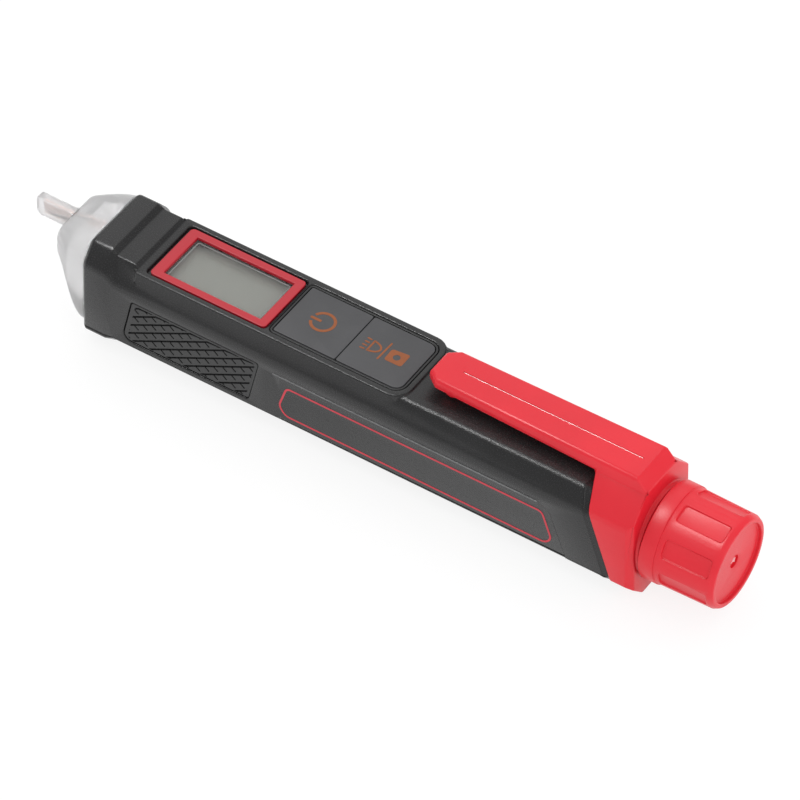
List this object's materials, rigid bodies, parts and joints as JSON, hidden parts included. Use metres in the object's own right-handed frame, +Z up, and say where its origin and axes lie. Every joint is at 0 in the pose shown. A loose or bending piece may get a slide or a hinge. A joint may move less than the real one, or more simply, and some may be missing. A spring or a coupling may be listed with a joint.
{
  "type": "voltage tester pen",
  "caption": "Pocket voltage tester pen with a flat clear sensing blade, flared nose, small display, flush keys, pocket clip and fluted screw cap at the tail.",
  "frame": {"origin": "on the surface that the pen lies on, under the middle of its length and width", "axes": "+X runs from the sensing blade to the battery cap, +Z is up, out of the display and keys, +Y completes the right-handed frame"},
  "size_m": [0.16, 0.0224, 0.028],
  "materials": {
    "clear_plastic": "frosted clear polycarbonate",
    "copper_strip": "bare copper",
    "black_shell": "fine spark-eroded grain",
    "grip_pad": "cross-hatched, matt",
    "red_frame": "smooth",
    "window_clear": "polished clear acrylic",
    "display_grey": "grey-green display, blank",
    "key_rim": "satin",
    "key_rubber": "matt, printed symbols",
    "red_shell": "satin",
    "red_cap": "satin",
    "led_white": "clear lens",
    "led_red": "tinted lens",
    "board_green": "solder mask",
    "conductive_rubber": "matt",
    "switch_black": "moulded",
    "plunger_ivory": "moulded",
    "chip_black": "moulded",
    "parts_tan": "soldered chips",
    "buzzer_black": "moulded",
    "sleeve_grey": "natural moulding",
    "contact_steel": "nickel plated",
    "cell_jacket": "printed foil jacket",
    "spring_steel": "nickel plated wire",
    "seal_rubber": "matt"
  },
  "bodies": {
    "housing": {"nose_lens": "clear_plastic", "sensor_strip": "copper_strip", "upper_shell": "black_shell", "lower_shell": "black_shell", "grip_left": "grip_pad", "grip_right": "grip_pad", "display_bezel": "red_frame", "display_window": "window_clear", "lcd_panel": "display_grey", "key_frame": "key_rim", "tail_housing": "red_shell", "torch_led": "led_white", "alarm_led": "led_red", "led_board": "board_green", "main_board": "board_green", "display_connectors": "conductive_rubber", "power_switch": "switch_black", "torch_switch": "switch_black", "main_chip": "chip_black", "board_parts": "parts_tan", "buzzer": "buzzer_black", "battery_sleeve": "sleeve_grey", "front_contact": "contact_steel", "battery_front": "cell_jacket", "battery_rear": "cell_jacket", "cap_seal": "seal_rubber"},
    "power_key": {"power_key": "key_rubber", "power_plunger": "plunger_ivory"},
    "torch_key": {"torch_key": "key_rubber", "torch_plunger": "plunger_ivory"},
    "contact_carrier": {"cap_contact": "contact_steel", "battery_spring": "spring_steel"},
    "cap": {"cap": "red_cap"}
  },
  "joints": [
    {"name": "power_press", "type": "slide", "parent": "housing", "child": "power_key", "axis": [0, 0, -1], "range_m": [0, 0.0004], "stiffness_N_per_m": 1500},
    {"name": "torch_press", "type": "slide", "parent": "housing", "child": "torch_key", "axis": [0, 0, -1], "range_m": [0, 0.0004], "stiffness_N_per_m": 1500},
    {"name": "cap_travel", "type": "slide", "parent": "housing", "child": "contact_carrier", "axis": [1, 0, 0], "range_m": [0, 0.004]},
    {"name": "cap_turn", "type": "hinge", "parent": "contact_carrier", "child": "cap", "pos_m": [0.072, 0, 0.0123], "axis": [1, 0, 0], "range_deg": [0, 720]}
  ],
  "couplings": [
    {"joint": "cap_travel", "follows": "cap_turn", "m_per_rad": 0.00031831}
  ]
}
